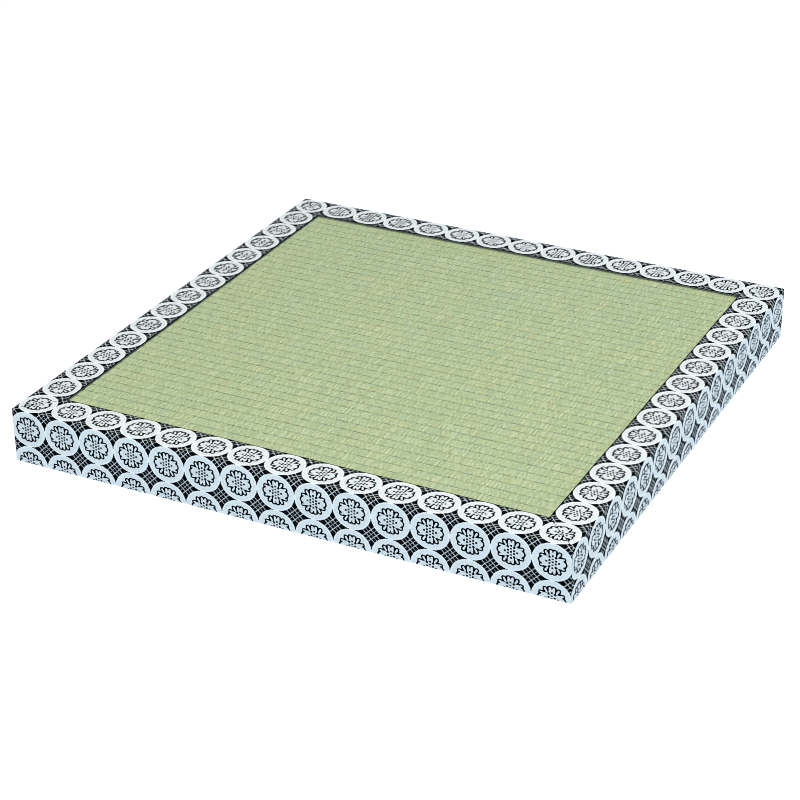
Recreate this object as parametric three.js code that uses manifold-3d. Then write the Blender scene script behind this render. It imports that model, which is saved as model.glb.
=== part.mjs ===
// Thick square floor mat: a firm body faced with woven rush, and four strips of border cloth.
// Millimetres, +Z up. The origin is the middle of the underside.
// The rush rows run along X, and one rush stem runs along Y.
import * as THREE from 'three';
import { mergeVertices } from 'three/addons/utils/BufferGeometryUtils.js';
import Module from 'manifold-3d';

// Whole mat
const SIDE = 660; // over the border cloth, both ways
const THICKNESS = 65; // underside to the top of the border cloth
const GAP = 0.3; // left between pieces that lie on each other

// Border cloth, with the paper stiffener that it is folded round
const CLOTH = 1.5;
const BAND = 44; // seen on top, from the outer face to the folded inner edge
const TURN_UNDER = 30; // sewn down under the mat
const EDGE_ROUND = 2; // outer radius where the cloth turns an edge
const FOLD_STEPS = 6; // facets round a quarter turn of the cloth
const CORNER_STEPS = 4; // facets round each strip's half of an upright corner
const CORNER_STATION = 2; // spacing of the sections near a corner, inside the round

// Rush facing
const ROW = 15; // from one warp groove to the next
const ROW_RISE = 0.6; // crest of a row above its groove
const ROW_POINTS = [0, 0.07, 0.22, 0.5, 0.78, 0.93]; // places across a row, as shares of it
const ROW_FULLNESS = 3; // higher is flatter on top, with a narrower groove

const HALF = SIDE / 2;
const MITRE = GAP / Math.SQRT2; // what each strip leaves beside the corner's diagonal, along X
const BODY_HALF = HALF - CLOTH - GAP;
const BODY_TOP = THICKNESS - CLOTH - GAP;
const SEAT_HALF = HALF - TURN_UNDER - GAP; // the part of the underside inside the turned cloth
const SEAT_STEP = CLOTH + GAP;
const BODY_ROUND = EDGE_ROUND - CLOTH;

const wasm = await Module();
wasm.setup();

function solidOf(geometry) {
  const bare = geometry.index ? geometry.toNonIndexed() : geometry;
  bare.deleteAttribute('normal');
  bare.deleteAttribute('uv');
  const welded = mergeVertices(bare, 1e-4);
  return new wasm.Manifold(new wasm.Mesh({
    numProp: 3,
    vertProperties: new Float32Array(welded.attributes.position.array),
    triVerts: new Uint32Array(welded.index.array),
  }));
}

function geometryOf(solid) {
  const mesh = solid.getMesh();
  const geometry = new THREE.BufferGeometry();
  geometry.setAttribute('position', new THREE.BufferAttribute(new Float32Array(mesh.vertProperties), 3));
  geometry.setIndex(Array.from(mesh.triVerts));
  geometry.computeVertexNormals();
  return geometry;
}

// Points of an arc in a section, both ends included
function arc(across, height, radius, from, to, steps) {
  return Array.from({ length: steps + 1 }, (_, i) => {
    const angle = from + ((to - from) * i) / steps;
    return new THREE.Vector2(across + radius * Math.cos(angle), height + radius * Math.sin(angle));
  });
}

// A section drawn in Y and Z, carried along X over the whole mat
function drawnAlongX(points) {
  const geometry = new THREE.ExtrudeGeometry(new THREE.Shape(points), { depth: SIDE, bevelEnabled: false });
  geometry.translate(0, 0, -HALF);
  const [x, y, z] = [new THREE.Vector3(1, 0, 0), new THREE.Vector3(0, 1, 0), new THREE.Vector3(0, 0, 1)];
  return geometry.applyMatrix4(new THREE.Matrix4().makeBasis(y, z, x));
}

// Body section from left to right: the step for the turned cloth, the rounded edges, and a top
function bodySection(topPoints) {
  const edge = BODY_HALF - BODY_ROUND;
  const right = [
    new THREE.Vector2(SEAT_HALF, 0),
    new THREE.Vector2(SEAT_HALF, SEAT_STEP),
    ...arc(edge, SEAT_STEP + BODY_ROUND, BODY_ROUND, -Math.PI / 2, 0, FOLD_STEPS),
    ...arc(edge, BODY_TOP - BODY_ROUND, BODY_ROUND, 0, Math.PI / 2, FOLD_STEPS),
  ];
  const left = right.map((p) => new THREE.Vector2(-p.x, p.y)).reverse();
  return [...right, ...topPoints, ...left];
}

// The rows of rush across the mat, from its right edge to its left, row grooves below the crests
function rushTop() {
  const edge = BODY_HALF - BODY_ROUND;
  const rows = Math.ceil(SIDE / ROW / 2) * 2;
  const points = [];
  for (let row = rows - 1; row >= 0; row -= 1) {
    for (const share of [...ROW_POINTS].reverse()) {
      const across = (row - rows / 2 + share) * ROW;
      const drop = ROW_RISE * Math.abs(2 * share - 1) ** ROW_FULLNESS;
      if (Math.abs(across) < edge) points.push(new THREE.Vector2(across, BODY_TOP - drop));
    }
  }
  return points;
}

function rushMat() {
  const rows = solidOf(drawnAlongX(bodySection(rushTop())));
  const sides = solidOf(drawnAlongX(bodySection([])).rotateZ(Math.PI / 2));
  const corner = BODY_HALF - BODY_ROUND;
  const plan = [0, 1, 2, 3].flatMap((turn) => {
    const from = (turn * Math.PI) / 2;
    const middle = new THREE.Vector2(corner, corner).rotateAround(new THREE.Vector2(), from);
    return arc(middle.x, middle.y, BODY_ROUND, from, from + Math.PI / 2, FOLD_STEPS);
  });
  const upright = new THREE.ExtrudeGeometry(new THREE.Shape(plan), { depth: THICKNESS, bevelEnabled: false });
  return geometryOf(rows.intersect(sides).intersect(solidOf(upright)));
}

// Once round the cloth's section: [inset from the outer face, height], the band on top first
function borderSection() {
  const nose = CLOTH / 2;
  const quarter = Math.PI / 2;
  const inner = EDGE_ROUND - CLOTH;
  const top = THICKNESS - EDGE_ROUND;
  return [
    ...arc(BAND - nose, THICKNESS - nose, nose, -quarter, quarter, FOLD_STEPS),
    ...arc(EDGE_ROUND, top, EDGE_ROUND, quarter, 2 * quarter, FOLD_STEPS),
    ...arc(EDGE_ROUND, EDGE_ROUND, EDGE_ROUND, 2 * quarter, 3 * quarter, FOLD_STEPS),
    ...arc(TURN_UNDER - nose, nose, nose, -quarter, quarter, FOLD_STEPS),
    ...arc(EDGE_ROUND, EDGE_ROUND, inner, 3 * quarter, 2 * quarter, FOLD_STEPS),
    ...arc(EDGE_ROUND, top, inner, 2 * quarter, quarter, FOLD_STEPS),
  ];
}

// Where a point of the section lies at a station near the right-hand corner: [along, out].
// Station 0 is where the straight run ends, and station CORNER_STEPS is beside the diagonal.
function nearCorner(inset, station) {
  const round = EDGE_ROUND - inset;
  if (round <= GAP) {
    const end = HALF - inset - MITRE;
    return [end - (CORNER_STEPS - station) * CORNER_STATION, HALF - inset];
  }
  const turned = Math.acos(GAP / 2 / round) - Math.PI / 4;
  const angle = (turned * station) / CORNER_STEPS;
  const middle = HALF - EDGE_ROUND;
  return [middle + round * Math.sin(angle), middle + round * Math.cos(angle)];
}

// One strip of border cloth along the front: over the top edge, down the side and under
function borderStrip() {
  const section = borderSection();
  const around = section.length;
  const stations = [];
  for (let station = CORNER_STEPS; station >= 0; station -= 1) {
    stations.push(section.map((p) => [-1, ...nearCorner(p.x, station), p.y]));
  }
  for (let station = 0; station <= CORNER_STEPS; station += 1) {
    stations.push(section.map((p) => [1, ...nearCorner(p.x, station), p.y]));
  }
  const positions = stations.flat().flatMap(([hand, along, out, height]) => [hand * along, -out, height]);
  const faces = [];
  for (let s = 0; s < stations.length - 1; s += 1) {
    for (let i = 0; i < around; i += 1) {
      const next = (i + 1) % around;
      const [a, b] = [s * around + i, s * around + next];
      const [c, d] = [a + around, b + around];
      faces.push(a, b, c, b, d, c);
    }
  }
  const last = (stations.length - 1) * around;
  for (const [i, j, k] of THREE.ShapeUtils.triangulateShape(section, [])) {
    faces.push(i, k, j, last + i, last + j, last + k);
  }
  const geometry = new THREE.BufferGeometry();
  geometry.setAttribute('position', new THREE.Float32BufferAttribute(positions, 3));
  geometry.setIndex(faces);
  geometry.computeVertexNormals();
  return geometry;
}

const rush = new THREE.MeshStandardMaterial({ color: 0xb4c48f, roughness: 0.7, metalness: 0 });
const borderCloth = new THREE.MeshStandardMaterial({ color: 0x9aa4ad, roughness: 0.8, metalness: 0 });

const mat = new THREE.Group();

const rushBody = new THREE.Mesh(rushMat(), rush);
rushBody.name = 'rush_mat';
mat.add(rushBody);

const strip = borderStrip();
['front', 'right', 'back', 'left'].forEach((side, turn) => {
  const border = new THREE.Mesh(strip, borderCloth.clone());
  border.name = `border_${side}`;
  border.rotation.z = (turn * Math.PI) / 2;
  mat.add(border);
});

export default mat;
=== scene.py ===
# Thick square tatami mat: a woven rush facing on a sewn straw body, edged with four strips of figured cloth.
# Metres, +Z up. The rush rows run along X, and single rush stems run along Y.
import math
import random

import bpy
from mathutils import Matrix, Quaternion, Vector


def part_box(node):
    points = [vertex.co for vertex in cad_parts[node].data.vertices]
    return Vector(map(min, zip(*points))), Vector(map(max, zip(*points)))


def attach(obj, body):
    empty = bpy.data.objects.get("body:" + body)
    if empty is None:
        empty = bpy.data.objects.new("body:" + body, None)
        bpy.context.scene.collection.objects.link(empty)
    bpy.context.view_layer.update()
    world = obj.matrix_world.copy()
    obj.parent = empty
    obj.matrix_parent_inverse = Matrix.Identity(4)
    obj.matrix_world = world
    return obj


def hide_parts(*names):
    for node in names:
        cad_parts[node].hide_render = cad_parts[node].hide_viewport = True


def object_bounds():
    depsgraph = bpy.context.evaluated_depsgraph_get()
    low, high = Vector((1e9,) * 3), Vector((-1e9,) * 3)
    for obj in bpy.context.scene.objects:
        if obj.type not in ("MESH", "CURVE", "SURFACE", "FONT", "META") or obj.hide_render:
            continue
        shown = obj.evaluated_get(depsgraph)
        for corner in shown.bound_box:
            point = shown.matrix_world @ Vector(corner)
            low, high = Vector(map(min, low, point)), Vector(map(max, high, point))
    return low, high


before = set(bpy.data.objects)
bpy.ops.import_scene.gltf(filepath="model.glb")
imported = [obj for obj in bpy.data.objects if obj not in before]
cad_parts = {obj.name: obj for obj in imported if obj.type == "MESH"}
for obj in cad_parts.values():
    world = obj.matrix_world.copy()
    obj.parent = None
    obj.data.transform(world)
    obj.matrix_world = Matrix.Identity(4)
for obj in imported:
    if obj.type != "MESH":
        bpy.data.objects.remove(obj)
CAD_LOW, CAD_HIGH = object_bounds()

MM = 0.001
QUARTER = math.pi / 2

# Sizes taken from the frame
HALF = CAD_HIGH.x  # outer face of the border cloth
TOP = CAD_HIGH.z
BODY_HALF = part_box("rush_mat")[1].x
BODY_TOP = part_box("rush_mat")[1].z
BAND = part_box("border_front")[1].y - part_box("border_front")[0].y

# Sizes of the making, which the frame's boxes don't give
GAP = 0.3 * MM
CLOTH = TOP - BODY_TOP - GAP
TURN_UNDER = 30 * MM
EDGE_ROUND = 2 * MM
SEAT_HALF = HALF - TURN_UNDER - GAP  # the part of the underside inside the turned cloth
FOLD_STEPS = 8  # facets of a quarter turn of the cloth, and of its folded edges
CORNER_RUN = 8 * MM  # length of a strip's end, where its sections follow the corner

# Rush facing
FACING = 2.5 * MM  # its thickness
ROW = 15 * MM  # from one warp groove to the next
ROW_RISE = 0.6 * MM
ROW_FULLNESS = 3  # higher is flatter on top, with a narrower groove
ROW_SHARES = [0, 0.12, 0.5, 0.88]  # places of the mesh's lines across a row
STEM = 2.2 * MM  # from one stem to the next in a row
STEM_DIP = 0.22 * MM  # how far the dip between two stems lies below them
STEM_UNEVEN = 0.12 * MM  # how far a point of the facing's top may lie below its even height

# Border figure: one repeat along the strip and one across it
REPEAT = 44.2 * MM
REPEAT_ACROSS = 42.5 * MM
THREADS = 80  # weave cells in one repeat
CLOTH_MAP = "cloth"  # each point's place on the cloth, in repeats
# Where two roundels first meet on each strip, from its left-hand end as seen from outside
FIRST_JOIN = {"front": 42.3 * MM, "right": 40.5 * MM, "back": 44.0 * MM, "left": 42.1 * MM}

# Hand-sewn unevenness of the border
EDGE_WANDER = 0.5 * MM  # of the folded inner edge
SIDE_BELLY = 0.25 * MM  # how far each side bulges
SIDE_WAVER = 0.5 * MM  # how far the bulge varies along the side
FADE = 40 * MM  # length over which all of it dies out before a corner

# Sewing on the underside
SEAM_INSET = 24 * MM  # the border's seam, from the outer face
SEAM_DEPTH = 1.0 * MM
SEAM_HALF_WIDTH = 1.6 * MM
CHANNEL_HALF_WIDTH = 4 * MM  # how far the mesh follows a stitched channel
QUILT_PITCH = 46 * MM
THREAD_RADIUS = 0.42 * MM
THREAD_SIDES = 8  # facets round the thread
STITCH = 9 * MM
STITCH_PITCH = 15 * MM


def colour(*screen):
    """A linear colour from its red, green and blue on a screen, 0 to 255."""
    shares = [value / 255 for value in screen]
    linear = [((share + 0.055) / 1.055) ** 2.4 if share > 0.04045 else share / 12.92 for share in shares]
    return (*linear, 1)


# Meshes

def new_piece(name, points, faces, flat_faces=(), places=None):
    """A mesh piece, smooth but for the faces listed. places gives each point's place on the cloth."""
    mesh = bpy.data.meshes.new(name)
    mesh.from_pydata(points, [], faces)
    smooth = [True] * len(mesh.polygons)
    for index in flat_faces:
        smooth[index] = False
    mesh.polygons.foreach_set("use_smooth", smooth)
    if places:
        cloth_map = mesh.uv_layers.new(name=CLOTH_MAP)
        for corner, point in enumerate(loop.vertex_index for loop in mesh.loops):
            cloth_map.data[corner].uv = places[point]
    mesh.update()
    piece = bpy.data.objects.new(name, mesh)
    bpy.context.scene.collection.objects.link(piece)
    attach(piece, "root")
    return piece


def spaced(start, end, steps):
    """Evenly spaced values from start to end, both included."""
    return [start + (end - start) * i / steps for i in range(steps + 1)]


def arc(across, height, radius, start, end, steps):
    """Points of an arc in a section, both ends included."""
    return [(across + radius * math.cos(a), height + radius * math.sin(a)) for a in spaced(start, end, steps)]


def gentle_wave(seed, size, longest):
    """A smooth uneven line: a function of a place in metres, up to about the size given.
    longest is its longest wavelength."""
    draw = random.Random(seed)
    count = 4
    waves = [(longest / (1 + 0.8 * i), draw.uniform(0, math.tau), draw.uniform(0.5, 1)) for i in range(count)]

    def at(place):
        heights = [share * math.sin(math.tau * place / length + phase) for length, phase, share in waves]
        return size * sum(heights) / count

    return at


def ring_faces(rings, around):
    """Quads between closed rings of points that follow each other in the list."""
    faces = []
    for ring in range(rings - 1):
        for i in range(around):
            a = ring * around + i
            b = ring * around + (i + 1) % around
            faces.append((a, b, b + around, a + around))
    return faces


# Shader maths

class Strand:
    """A number that varies over a surface. Arithmetic on it adds Math nodes."""

    def __init__(self, finish, socket):
        self.finish = finish
        self.socket = socket

    def __add__(self, other):
        return self.finish.maths("ADD", self, other)

    def __radd__(self, other):
        return self.finish.maths("ADD", other, self)

    def __sub__(self, other):
        return self.finish.maths("SUBTRACT", self, other)

    def __rsub__(self, other):
        return self.finish.maths("SUBTRACT", other, self)

    def __mul__(self, other):
        return self.finish.maths("MULTIPLY", self, other)

    def __rmul__(self, other):
        return self.finish.maths("MULTIPLY", other, self)

    def __truediv__(self, other):
        return self.finish.maths("DIVIDE", self, other)

    def __pow__(self, other):
        return self.finish.maths("POWER", self, other)

    def __lt__(self, other):
        return self.finish.maths("LESS_THAN", self, other)

    def __gt__(self, other):
        return self.finish.maths("GREATER_THAN", self, other)

    def __abs__(self):
        return self.finish.maths("ABSOLUTE", self)

    def __and__(self, other):
        return self.finish.maths("MINIMUM", self, other)

    def __or__(self, other):
        return self.finish.maths("MAXIMUM", self, other)

    def whole(self):
        return self.finish.maths("FLOOR", self)

    def part(self):
        return self.finish.maths("FRACT", self)

    def root(self):
        return self.finish.maths("SQRT", self)


class Finish:
    """A material, built node by node. Its constants are the shader's own sockets, with _ for a space."""

    def __init__(self, name, **constants):
        self.material = bpy.data.materials.new(name)
        self.material.use_nodes = True
        self.tree = self.material.node_tree
        self.shader = self.tree.nodes["Principled BSDF"]
        for socket, value in constants.items():
            self.shader.inputs[socket.replace("_", " ")].default_value = value

    def node(self, kind, settings=None, values=None, out=0):
        """A node's output. Its settings are set first, then the values or links of its sockets."""
        made = self.tree.nodes.new(kind)
        for setting, value in (settings or {}).items():
            if setting == "stops":
                stops = made.color_ramp.elements
                while len(stops) < len(value):
                    stops.new(1)
                for stop, (position, shade) in zip(stops, value):
                    stop.position = position
                    stop.color = shade
            else:
                setattr(made, setting, value)
        for socket, value in (values or {}).items():
            self.feed(made.inputs[socket], value)
        return Strand(self, made.outputs[out])

    def feed(self, socket, value):
        if isinstance(value, Strand):
            self.tree.links.new(value.socket, socket)
        else:
            socket.default_value = value

    def maths(self, operation, *values):
        return self.node("ShaderNodeMath", {"operation": operation}, dict(enumerate(values)))

    def split(self, vector):
        """The three numbers of a vector."""
        parts = self.node("ShaderNodeSeparateXYZ", values={0: vector})
        return [Strand(self, out) for out in parts.socket.node.outputs]

    def joined(self, x, y, z):
        return self.node("ShaderNodeCombineXYZ", values={0: x, 1: y, 2: z})

    def mixed(self, share, base, other):
        """base, with as much of the other colour as share says."""
        # Sockets 6 and 7 are the Mix node's colours, and output 2 is the colour that it makes
        return self.node("ShaderNodeMix", {"data_type": "RGBA"}, {0: share, 6: base, 7: other}, out=2)

    def ramp(self, value, low, high):
        """0 up to low, 1 from high, and smooth between."""
        settings = {"interpolation_type": "SMOOTHSTEP"}
        return self.node("ShaderNodeMapRange", settings, {0: value, 1: low, 2: high, 3: 0.0, 4: 1.0})

    def speckle(self, x, y, draw):
        """A random number from 0 to 1 for each whole place. Each draw gives other numbers."""
        values = {"Vector": self.joined(x, y, draw)}
        return self.node("ShaderNodeTexWhiteNoise", {"noise_dimensions": "3D"}, values)

    def cloud(self, x, y, draw, detail=2.0):
        """A smooth random number from 0 to 1, about one patch to a unit. Each draw gives another pattern."""
        values = {"Vector": self.joined(x, y, draw), "Scale": 1.0, "Detail": detail}
        return self.node("ShaderNodeTexNoise", values=values)

    def shades(self, value, stops):
        """A colour that runs through the stops, each a position and its screen colour."""
        stops = [(position, colour(*screen)) for position, screen in stops]
        return self.node("ShaderNodeValToRGB", {"stops": stops}, {0: value})

    def place(self):
        """Where a point of the piece lies, in metres."""
        object_coordinates = 3
        return self.split(self.node("ShaderNodeTexCoord", out=object_coordinates))

    def relief(self, height, depth):
        """Bumps of the height given, where a height of 1 stands for depth in metres."""
        bump = self.node("ShaderNodeBump", values={"Height": height, "Distance": depth, "Strength": 1.0})
        self.feed(self.shader.inputs["Normal"], bump)

    def surface(self, base, roughness):
        self.feed(self.shader.inputs["Base Color"], base)
        self.feed(self.shader.inputs["Roughness"], roughness)
        return self.material


# Rush facing

def rush_height(row, share, column, draw):
    """Top of the facing: rounded rows with a groove between them, and in each row a dip between its stems.
    share is the place across the row. The next row's stems are half a stem further on."""
    drop = ROW_RISE * abs(2 * share - 1) ** ROW_FULLNESS
    on_a_stem = (row + column) % 2 == 0
    dip = 0 if on_a_stem else STEM_DIP
    return BODY_TOP - drop - dip - draw.uniform(0, STEM_UNEVEN)


def rush_facing():
    """The sheet of woven rush on the body, with its rows and stems in relief where it shows."""
    draw = random.Random(15)
    half_stem = STEM / 2
    edge = BODY_HALF - EDGE_ROUND
    relief_half = HALF - BAND + 14 * MM  # the relief runs on a little way under the border
    columns = math.floor(relief_half / half_stem)
    rows = math.ceil(columns * half_stem / ROW)
    along = [-edge] + [column * half_stem for column in range(-columns, columns + 1)] + [edge]
    row_lines = [(row + share) * ROW for row in range(-rows, rows) for share in ROW_SHARES]
    across = [-edge] + row_lines + [rows * ROW, edge]
    wide = len(along)
    deep = len(across)
    points = []
    for j, y in enumerate(across):
        row = math.floor(y / ROW + 0.001)  # a line on a groove belongs to the row behind it
        share = min(max(y / ROW - row, 0), 1)
        for i, x in enumerate(along):
            outside = i in (0, wide - 1) or j in (0, deep - 1)
            height = BODY_TOP - ROW_RISE if outside else rush_height(row, share, i, draw)
            points.append((x, y, height))
    faces = []
    for j in range(deep - 1):
        for i in range(wide - 1):
            a = j * wide + i
            faces.append((a, a + 1, a + wide + 1, a + wide))

    # The outermost points in their order round the sheet, and under each a point of its flat underside
    rim = list(range(wide)) + [j * wide + wide - 1 for j in range(1, deep)]
    rim += [(deep - 1) * wide + i for i in range(wide - 2, -1, -1)]
    rim += [j * wide for j in range(deep - 2, 0, -1)]
    first = len(points)
    points += [(points[p][0], points[p][1], BODY_TOP - FACING) for p in rim]
    for i, p in enumerate(rim):
        after = (i + 1) % len(rim)
        faces.append((rim[after], p, first + i, first + after))
    faces.append(tuple(first + i for i in range(len(rim) - 1, -1, -1)))
    facing = new_piece("rush_facing", points, faces, flat_faces=[len(faces) - 1])
    facing.data.materials.append(rush_finish())
    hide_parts("rush_mat")
    return facing, 2 * edge


def rush_finish():
    """Green rush, stem by stem and row by row, with bluish and straw-coloured stretches, and dark grooves of
    painted shade.
    """
    finish = Finish("woven_rush", Specular_IOR_Level=0.35, Sheen_Weight=0.08)
    x, y, _ = finish.place()
    row_place = y / ROW
    row = row_place.whole()
    from_crest = abs(row_place.part() - 0.5) * 2
    odd = (row * 0.5).part() * 2
    lane = x / STEM + (odd + 1) * 0.5  # whole where the mesh has a stem's ridge
    stem = (lane + 0.5).whole()
    from_stem = abs(lane - stem) * 2

    # Unevenness of the stems: along a whole stem, from row to row, and in short lengths of it
    whole_stem = finish.speckle(stem, odd, draw=3.0)
    this_row = finish.speckle(stem, row, draw=7.0)
    lit_or_shaded_stem = (stem * 0.5).part() * 4 - 1  # painted light and shade, -1 and 1 by turns, from stem to stem
    length = (y / (3.6 * MM) + x / (7 * MM)).whole()
    streak = finish.speckle(stem, length, draw=12.0) - finish.speckle(stem - 1, length, draw=12.0) * 0.5
    dashes = finish.cloud(x / (16 * MM), y / (11 * MM), draw=2.0)
    patches = finish.cloud(x / (70 * MM), y / (55 * MM), draw=9.0, detail=3.0)
    mottle = finish.cloud(x / (4 * MM), y / (7 * MM), draw=4.0)

    tone = 0.5 + (whole_stem - 0.5) * 0.05 + (this_row - 0.5) * 0.1
    tone = tone + (streak - 0.25) * 0.25 + lit_or_shaded_stem * 0.03
    base = finish.shades(tone, [(0, (120, 138, 88)), (0.5, (183, 196, 147)), (1, (238, 242, 202))])
    bluish = finish.ramp(dashes * 0.6 + patches * 0.4 + this_row * 0.12, 0.5, 0.68)
    base = finish.mixed(bluish * 0.12, base, colour(150, 190, 166))
    straw = finish.ramp(1 - dashes * 0.5 - patches * 0.5 + whole_stem * 0.1, 0.54, 0.74)
    base = finish.mixed(straw * 0.14, base, colour(214, 201, 138))
    # Paler stems, each one row long, which also stand for painted highlights
    pale_stem_highlight = this_row > 0.93
    base = finish.mixed(pale_stem_highlight * 0.2, base, colour(228, 230, 190))
    blue_stem = finish.speckle(stem, row, draw=31.0) > 0.93
    base = finish.mixed(blue_stem * 0.25, base, colour(148, 186, 166))
    brown_stem = finish.speckle(stem, row, draw=21.0) > 0.985
    base = finish.mixed(brown_stem * 0.3, base, colour(196, 176, 126))

    # Painted shade: dark dots along the warp grooves, and the shade between stems
    line = (row_place + 0.5).whole()
    groove_shade_dot = finish.speckle((x / STEM).whole(), line, draw=5.0)
    stretch = finish.ramp(finish.cloud(x / (22 * MM), line * 3.7, draw=6.0, detail=1.0), 0.3, 0.7)
    groove = finish.ramp(from_crest + (mottle - 0.5) * 0.1, 0.8, 0.94)
    shade = groove * (0.24 + 0.08 * stretch + 0.4 * finish.ramp(groove_shade_dot, 0.4, 0.9))
    valley = finish.ramp(from_stem, 0.6, 0.95) * (0.06 + 0.12 * this_row)
    base = finish.mixed(shade | valley, base, colour(80, 100, 78))

    # Shade where the facing runs in under the border
    inner_edge = HALF - BAND
    tucked = finish.ramp(abs(x) | abs(y), inner_edge - 0.8 * MM, inner_edge + 0.2 * MM)
    base = finish.mixed(tucked * 0.4, base, colour(50, 62, 44))

    finish.relief((1 - from_stem ** 2) * 0.5 + mottle * 0.3 - groove * 0.6, 0.25 * MM)
    return finish.surface(base, 0.52 + mottle * 0.2)


# Straw body

def in_a_channel(distance):
    """How far a stitched channel draws the surface in, at a distance from its middle line."""
    return SEAM_DEPTH * math.exp(-((distance / SEAM_HALF_WIDTH) ** 2))


def quilt_lines():
    """Where the quilting's stitched lines lie across the underside."""
    count = math.floor(SEAT_HALF / QUILT_PITCH)
    return [i * QUILT_PITCH for i in range(-count, count + 1)]


def quilted(y):
    """How far the nearest stitched line draws the underside in."""
    return in_a_channel(min(abs(line - y) for line in quilt_lines()))


def straw_body():
    """The firm body, with its rounded upper edges and the quilted underside that the mat lies on."""
    edge_round = EDGE_ROUND - CLOTH
    edge = BODY_HALF - edge_round
    top = BODY_TOP - FACING - GAP
    step = CLOTH + GAP  # how far the body stands up where the turned cloth lies under it
    step_width = 0.1 * MM
    across_channel = spaced(-CHANNEL_HALF_WIDTH, CHANNEL_HALF_WIDTH, steps=8)
    under = [line + side for line in quilt_lines() for side in across_channel] + [-SEAT_HALF, SEAT_HALF]
    section = [(-SEAT_HALF, step)] + [(y, quilted(y)) for y in sorted(under)] + [(SEAT_HALF, step)]
    low = step + edge_round
    high = top - edge_round
    for turn, (y, z) in enumerate([(edge, low), (edge, high), (-edge, high), (-edge, low)]):
        start = (turn - 1) * QUARTER
        section += arc(y, z, edge_round, start, start + QUARTER, steps=5)
    stations = [-BODY_HALF, -SEAT_HALF - step_width] + spaced(-SEAT_HALF, SEAT_HALF, steps=60)
    stations += [SEAT_HALF + step_width, BODY_HALF]
    points = []
    for x in stations:
        lift = step if abs(x) > SEAT_HALF + step_width / 2 else 0
        points += [(x, y, max(z, lift)) for y, z in section]
    around = len(section)
    faces = [tuple(reversed(face)) for face in ring_faces(len(stations), around)]
    faces.append(tuple(range(around)))
    faces.append(tuple(reversed(range(len(points) - around, len(points)))))
    body = new_piece("straw_body", points, faces, flat_faces=[len(faces) - 2, len(faces) - 1])
    body.data.materials.append(backing_finish())
    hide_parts("rush_mat")
    return body


def backing_finish():
    """Coarse plain-woven straw backing."""
    finish = Finish("straw_backing", Specular_IOR_Level=0.3)
    x, y, _ = finish.place()
    strand = 3 * MM
    strand_x = x / strand
    strand_y = y / strand
    over = ((strand_x.whole() + strand_y.whole()) * 0.5).part() * 2
    crown_x = 1 - abs(strand_x.part() - 0.5) * 2
    crown_y = 1 - abs(strand_y.part() - 0.5) * 2
    weave = over * crown_x + (1 - over) * crown_y
    thread = finish.speckle(strand_x.whole() * over, strand_y.whole() * (1 - over), over)
    patches = finish.cloud(x / (60 * MM), y / (60 * MM), draw=1.0, detail=4.0)
    straws = [(0, (172, 150, 104)), (0.6, (206, 188, 142)), (1, (226, 212, 170))]
    base = finish.shades(thread * 0.6 + patches * 0.4, straws)
    # Painted shade in the dips between the woven strands
    base = finish.mixed((1 - weave) * 0.45, base, colour(96, 80, 52))
    finish.relief(weave, 0.5 * MM)
    return finish.surface(base, 0.75 + patches * 0.15)


# Border cloth

def folded_section():
    """Once round a strip's section: (inset from the outer face, height, place across the cloth).
    The cloth lies on top, turns down the side and is turned under. Place 0 is the middle of the top fold."""
    half_cloth = CLOTH / 2
    bend = EDGE_ROUND - half_cloth
    half_fold = EDGE_ROUND * QUARTER / 2
    side = TOP - 2 * EDGE_ROUND
    middle = []  # inset, height, direction of the figured side, place across
    for inset in spaced(BAND - half_cloth, EDGE_ROUND, steps=16)[:-1]:
        middle.append((inset, TOP - half_cloth, 0, 1, inset - EDGE_ROUND + half_fold))
    for angle in spaced(QUARTER, 2 * QUARTER, FOLD_STEPS):
        out, up = math.cos(angle), math.sin(angle)
        place = half_fold - EDGE_ROUND * (angle - QUARTER)
        middle.append((EDGE_ROUND + bend * out, TOP - EDGE_ROUND + bend * up, out, up, place))
    for depth in spaced(0, side, steps=20)[1:-1]:
        middle.append((half_cloth, TOP - EDGE_ROUND - depth, -1, 0, -half_fold - depth))
    for angle in spaced(2 * QUARTER, 3 * QUARTER, FOLD_STEPS):
        out, up = math.cos(angle), math.sin(angle)
        place = -half_fold - side - EDGE_ROUND * (angle - 2 * QUARTER)
        middle.append((EDGE_ROUND + bend * out, EDGE_ROUND + bend * up, out, up, place))
    for inset in spaced(EDGE_ROUND, TURN_UNDER - half_cloth, steps=20)[1:]:
        place = -3 * half_fold - side - (inset - EDGE_ROUND)
        middle.append((inset, half_cloth, 0, -1, place))

    figured = [(i + out * half_cloth, h + up * half_cloth, p) for i, h, out, up, p in middle]
    paper = [(i - out * half_cloth, h - up * half_cloth, p) for i, h, out, up, p in middle]
    seamed = [(i, h + (seam_depth(i) if h < half_cloth / 2 else 0), p) for i, h, p in figured]
    return seamed + folded_edge(middle[-1]) + paper[::-1] + folded_edge(middle[0])


def folded_edge(end):
    """The section round a long edge of the strip, from its lower face to its upper one. end is where the
    middle line ends."""
    inset, height, _, _, place = end
    turn = arc(inset, height, CLOTH / 2, -QUARTER, QUARTER, FOLD_STEPS)
    return [(across, up, place) for across, up in turn[1:-1]]


def seam_depth(inset):
    """How far the border's seam draws its turned cloth in, a little less than in the soft body."""
    return 0.9 * in_a_channel(inset - SEAM_INSET)


def near_mitre(inset, share):
    """Along the strip, out from the middle of the mat, and the place along the cloth, at a share of the way
    from the end of the straight run (0) to the mitre (1)."""
    bend = EDGE_ROUND - inset
    middle = HALF - EDGE_ROUND
    if bend <= GAP:
        along = HALF - inset - GAP / math.sqrt(2) - CORNER_RUN * (1 - share)
        return along, HALF - inset, along
    turned = (math.acos(GAP / 2 / bend) - QUARTER / 2) * share
    return middle + bend * math.sin(turned), middle + bend * math.cos(turned), middle + EDGE_ROUND * turned


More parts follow.
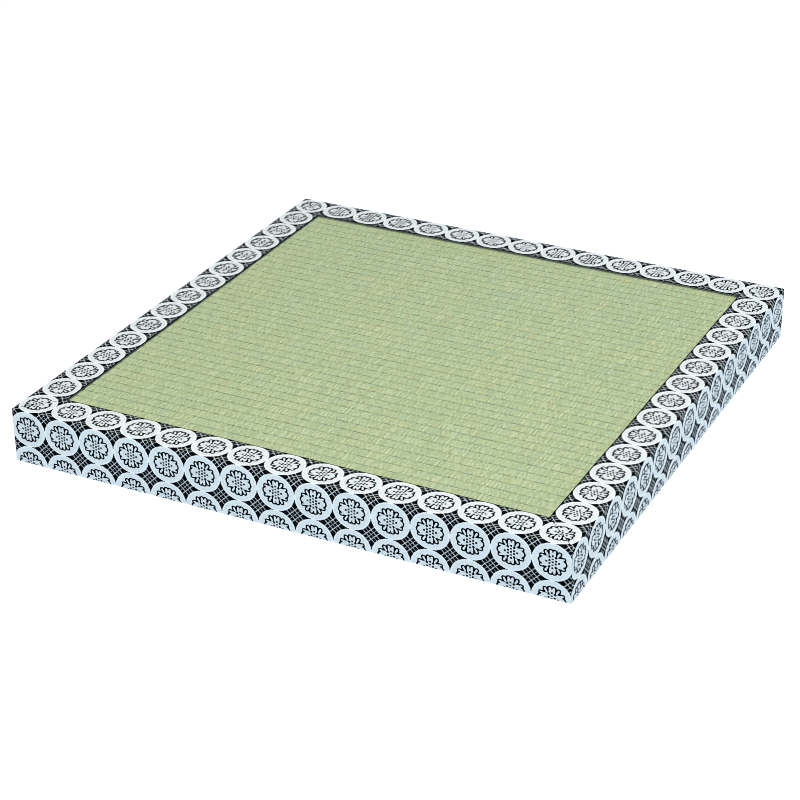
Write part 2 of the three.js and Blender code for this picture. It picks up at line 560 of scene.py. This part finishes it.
def border_strip(side, turn, finish):
    """One strip, mitred at both ends. turn counts quarter turns round the mat from the front."""
    section = folded_section()
    inner_edge = gentle_wave(31 + turn, EDGE_WANDER, longest=0.31)
    waver = gentle_wave(47 + turn, SIDE_WAVER, longest=0.43)
    quarter_turn = Matrix.Rotation(turn * QUARTER, 3, "Z")

    def uneven(along, inset, height):
        """How far a point lies out from its even place. The folded inner edge wanders a little and the side
        isn't quite flat. Both die out at the corners."""
        to_corner = min(1, max(0, (HALF - abs(along) - BAND) / FADE))
        if height > TOP - EDGE_ROUND and inset > EDGE_ROUND:
            return -inner_edge(along) * to_corner * (inset - EDGE_ROUND) / (BAND - EDGE_ROUND)
        if inset < EDGE_ROUND:
            up_the_side = math.sin(math.pi * min(1, max(0, height / TOP)))
            return (SIDE_BELLY + waver(along)) * up_the_side * to_corner
        return 0

    # Each ring of points: its share of the way to the mitre, and the share of the half strip that it lies at
    ends = spaced(0, 1, steps=8)
    rings = [(share, -1) for share in reversed(ends)]
    rings += [(0, share) for share in spaced(-1, 1, steps=150)[1:-1]]
    rings += [(share, 1) for share in ends]
    points = []
    places = []
    for to_mitre, part in rings:
        for inset, height, across in section:
            along, out, on_cloth = near_mitre(inset, to_mitre)
            along *= part
            on_cloth *= part
            points.append(tuple(quarter_turn @ Vector((along, -out - uneven(along, inset, height), height))))
            places.append(((on_cloth + HALF - FIRST_JOIN[side]) / REPEAT, across / REPEAT_ACROSS))

    around = len(section)
    faces = ring_faces(len(rings), around)
    faces.append(tuple(reversed(range(around))))
    faces.append(tuple(range(len(points) - around, len(points))))
    strip = new_piece(f"border_cloth_{side}", points, faces, [len(faces) - 2, len(faces) - 1], places)
    strip.data.materials.append(finish)
    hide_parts(f"border_{side}")
    width = section_width()
    2 * HALF * width - (BAND ** 2 + TURN_UNDER ** 2)
    return strip


def section_width():
    """The strip's width laid flat: band, side, turn-under and the two folds."""
    straight_parts = (BAND - EDGE_ROUND) + (TOP - 2 * EDGE_ROUND) + (TURN_UNDER - EDGE_ROUND)
    return straight_parts + 2 * QUARTER * EDGE_ROUND


def capsule(x, y, start, end, radius):
    """How far a place lies outside a rounded bar between two points. All in millimetres."""
    run = (end[0] - start[0], end[1] - start[1])
    length_squared = run[0] ** 2 + run[1] ** 2
    share = ((x - start[0]) * run[0] + (y - start[1]) * run[1]) / length_squared
    share = (share | 0.0) & 1.0
    return hypotenuse(x - start[0] - share * run[0], y - start[1] - share * run[1]) - radius


def hypotenuse(x, y):
    return (x * x + y * y).root()


def flower_lines(x, y):
    """Outline and dots of the flower in a roundel, and how far a place lies outside the flower.
    x and y are millimetres from the roundel's middle, without sign."""
    outline_half = 0.88
    spot_half = 0.95
    petals = [
        capsule(x, y, (2.0, 11.6), (2.0, 8.0), 2.2),
        capsule(x, y, (0.0, 8.0), (0.01, 5.0), 3.3),
        capsule(x, y, (5.0, 7.0), (6.9, 10.4), 1.9),
        capsule(x, y, (5.0, 4.6), (11.2, 5.4), 1.75),
        capsule(x, y, (5.0, 2.0), (9.3, 2.5), 2.6),
        hypotenuse(x - 10.2, y) - 3.9,
        hypotenuse(x, y) - 7.4,
    ]
    flower = petals[0]
    for petal in petals[1:]:
        flower = flower & petal
    lines = abs(flower) < outline_half
    spots = [(0, 3.4 * i) for i in range(3)] + [(3, 1.7), (3, 5.1), (6.3, 0)]
    for spot_x, spot_y in spots:
        lines = lines | ((abs(x - spot_x) | abs(y - spot_y)) < spot_half)
    return lines, flower


def border_finish():
    """Pale roundels that touch, each with a flower, on a black ground that is crossed by a pale lattice."""
    finish = Finish("figured_border_cloth", Specular_IOR_Level=0.03)
    along, across, _ = finish.split(finish.node("ShaderNodeUVMap", {"uv_map": CLOTH_MAP}))
    thread_along = (along * THREADS).whole()
    thread_across = (across * THREADS).whole()

    # Millimetres from the middle of the nearest roundel, without sign. Each weave cell has one shade.
    repeat = REPEAT / MM
    x = abs(((thread_along + 0.5) / THREADS).part() - 0.5) * repeat
    y = abs(((thread_across + 0.5) / THREADS).part() - 0.5) * repeat
    from_middle = hypotenuse(x, y)
    joined = ((x | y) > 17.0) * ((x & y) < 3.4)  # where neighbouring roundels touch
    pale = (from_middle < repeat / 2) | joined
    rim = (from_middle > repeat / 2 - 1.7) * pale

    # Lattice lines, by their distance from the middle of the ground along each diagonal
    one_way = (repeat - x - y) / math.sqrt(2)
    other_way = abs(x - y) / math.sqrt(2)
    line_pitch = 4.1
    line_half = 0.3
    lattice = (one_way < 0.5) | (other_way < line_half)
    lattice = lattice | (abs(one_way - line_pitch) < line_half) | (abs(other_way - line_pitch) < line_half)

    flower_scale = 1.055
    lines, flower = flower_lines(x / flower_scale, y / flower_scale)
    in_flower = (flower < 0) * pale

    # Painted shadow along the folded inner edge, with painted light on the lower face of its fold, and dark
    # lines on the mitres
    place_x, place_y, place_z = finish.place()
    fold_shadow_line = (across * REPEAT_ACROSS) > BAND - CLOTH / 2 - 1.3 * MM
    fold_nose_bounce_light = fold_shadow_line * (place_z < TOP - 0.4 * MM)
    mitre = (abs(abs(place_x) - abs(place_y)) < 0.45 * MM) * (place_z > TOP - 0.3 * MM)
    pale_thread = (pale * (1 - lines) + (1 - pale) * lattice) * (1 - (fold_shadow_line | mitre))

    mottle = finish.speckle(thread_along, thread_across, draw=2.0)
    wear = finish.cloud(along * 1.7, across * 1.7, draw=3.0, detail=3.0)
    paleness = 0.25 + mottle * 0.4 + rim * 0.4 + wear * 0.2 - in_flower * 0.1 - (1 - pale) * 0.3
    pales = [(0, (170, 178, 182)), (0.3, (212, 218, 219)), (0.55, (232, 236, 235)), (1, (242, 245, 244))]
    blacks = [(0, (0, 2, 3)), (1, (7, 13, 18))]
    pale_cloth = finish.shades(paleness, pales)
    black_cloth = finish.shades(mottle * 0.6 + wear * 0.3, blacks)
    base = finish.mixed(pale_thread, black_cloth, pale_cloth)
    # Painted light: the lower face of the fold, lit from the rush
    base = finish.mixed(fold_nose_bounce_light * 0.7, base, colour(150, 158, 150))

    ripple_along = 1 - abs((along * THREADS).part() - 0.5) * 2
    ripple_across = 1 - abs((across * THREADS).part() - 0.5) * 2
    finish.relief(pale_thread * 0.5 + ripple_along * ripple_across * 0.4 + mottle * 0.1, 0.12 * MM)
    return finish.surface(base, 0.7 - pale_thread * 0.18 + mottle * 0.1)


# Sewing thread on the underside

def stitch_rings(start, end):
    """Rings of points round a stitch that lies just above the floor and dives into the cloth at both ends."""
    rings = []
    clearance = 0.03 * MM
    depth = 0.5 * MM
    up = Vector((0, 0, 1))
    across = up.cross(end - start).normalized()
    for share in spaced(0, 1, steps=8):
        dive = abs(2 * share - 1) ** 6
        radius = THREAD_RADIUS * (1 - 0.45 * dive)
        middle = start.lerp(end, share) + up * (THREAD_RADIUS + clearance + depth * dive)
        ring = arc(0, 0, radius, 0, math.tau, THREAD_SIDES)[:-1]
        rings.append([middle + across * aside + up * height for aside, height in ring])
    return rings


def sewing_thread():
    """Running stitches along the four seams of the border, and along the quilting of the underside."""
    draw = random.Random(62)
    seam = HALF - SEAM_INSET
    seam_end = seam - 4 * MM
    quilt_end = SEAT_HALF - 12 * MM
    runs = []
    for turn in range(4):
        quarter_turn = Matrix.Rotation(turn * QUARTER, 3, "Z")
        left, right = Vector((-seam_end, -seam, 0)), Vector((seam_end, -seam, 0))
        runs.append((quarter_turn @ left, quarter_turn @ right))
    for y in quilt_lines():
        runs.append((Vector((-quilt_end, y, 0)), Vector((quilt_end, y, 0))))
    points = []
    faces = []
    for start, end in runs:
        direction = (end - start).normalized()
        count = math.floor((end - start).length / STITCH_PITCH)
        spare = ((end - start).length - count * STITCH_PITCH) / 2
        for index in range(count):
            begin = start + direction * (spare + index * STITCH_PITCH + draw.uniform(2, 4) * MM)
            sideways = Vector((-direction.y, direction.x, 0)) * draw.uniform(-0.25, 0.25) * MM
            rings = stitch_rings(begin, begin + direction * STITCH + sideways)
            first = len(points)
            points += [tuple(p) for ring in rings for p in ring]
            last = len(points) - THREAD_SIDES
            faces += [tuple(first + i for i in face) for face in ring_faces(len(rings), THREAD_SIDES)]
            faces.append(tuple(first + i for i in reversed(range(THREAD_SIDES))))
            faces.append(tuple(last + i for i in range(THREAD_SIDES)))
    thread = new_piece("sewing_thread", points, faces)
    thread.data.materials.append(thread_finish())
    return thread


def thread_finish():
    """Pale twisted thread."""
    finish = Finish("twisted_thread", Specular_IOR_Level=0.3)
    x, y, z = finish.place()
    twist = ((x + y) / (0.9 * MM) + z / (0.6 * MM)).part()
    ply = 1 - abs(twist - 0.5) * 2
    # Painted shade in the twist between the plies, lighter on each ply's crown
    base = finish.mixed(ply, colour(176, 166, 138), colour(222, 216, 196))
    finish.relief(ply, 0.15 * MM)
    return finish.surface(base, 0.8 - ply * 0.15)


# Surroundings

def floor():
    """A pale floor that glows a little, so that the mat's own shadow stays faint."""
    reach = 9.0
    points = [(-reach, -reach, 0), (reach, -reach, 0), (reach, reach, 0), (-reach, reach, 0)]
    mesh = bpy.data.meshes.new("floor")
    mesh.from_pydata(points, [], [(0, 1, 2, 3)])
    ground = bpy.data.objects.new("floor", mesh)
    bpy.context.scene.collection.objects.link(ground)
    paper = Finish("floor_paper", Base_Color=(0.14, 0.14, 0.14, 1), Roughness=0.9, Specular_IOR_Level=0.0,
                   Emission_Color=(0.88, 0.935, 1.0, 1), Emission_Strength=1.04)
    mesh.materials.append(paper.material)


def soft_light(name, place, size, power, tint):
    """A large soft lamp that points at the mat and isn't seen itself."""
    lamp = bpy.data.lights.new(name, "AREA")
    lamp.shape = "RECTANGLE"
    lamp.size, lamp.size_y = size
    lamp.energy = power
    lamp.color = tint
    holder = bpy.data.objects.new(name, lamp)
    holder.location = place
    holder.rotation_mode = "QUATERNION"
    holder.rotation_quaternion = (-Vector(place)).to_track_quat("-Z", "Y")
    holder.visible_camera = False
    bpy.context.scene.collection.objects.link(holder)


def studio():
    """A neutral lamp overhead, a cool one low down before each side, and a little light all round."""
    world = bpy.data.worlds.new("studio")
    world.use_nodes = True
    world.node_tree.nodes["Background"].inputs["Color"].default_value = (1, 1, 1, 1)
    world.node_tree.nodes["Background"].inputs["Strength"].default_value = 0.1
    bpy.context.scene.world = world
    soft_light("overhead", (0.55, -0.5, 2.7), size=(3.0, 3.0), power=98, tint=(1.0, 1.0, 0.99))
    for turn in range(4):
        place = Matrix.Rotation(turn * QUARTER, 3, "Z") @ Vector((0, -2.6, 0.36))
        soft_light(f"side_{turn}", place, size=(2.6, 0.6), power=13.2, tint=(0.22, 0.63, 0.96))


def camera():
    """The photograph's view: a long lens from the front, a little to the right and above."""
    azimuth = math.radians(27.01)
    elevation = math.radians(27.80)
    roll = math.radians(-0.59)
    aim = Vector((14.0 * MM, -74.2 * MM, 32.5 * MM))
    distance = 2413.7 * MM
    back = Vector((math.sin(azimuth) * math.cos(elevation), -math.cos(azimuth) * math.cos(elevation),
                   math.sin(elevation)))
    lens = bpy.data.cameras.new("photo_view")
    lens.sensor_width = 36
    lens.lens = 96.73
    view = bpy.data.objects.new("photo_view", lens)
    view.location = aim + back * distance
    view.rotation_mode = "QUATERNION"
    view.rotation_quaternion = (-back).to_track_quat("-Z", "Y") @ Quaternion((0, 0, 1), roll)
    bpy.context.scene.collection.objects.link(view)
    bpy.context.scene.camera = view
    bpy.context.scene.view_settings.view_transform = "Standard"
    bpy.context.scene.cycles.filter_width = 0.8  # keeps the weave crisp


body = straw_body()

facing, facing_side = rush_facing()

cloth_finish = border_finish()
for turn, side in enumerate(("front", "right", "back", "left")):
    border_strip(side, turn, cloth_finish)

sewing_thread()

floor()
studio()
camera()
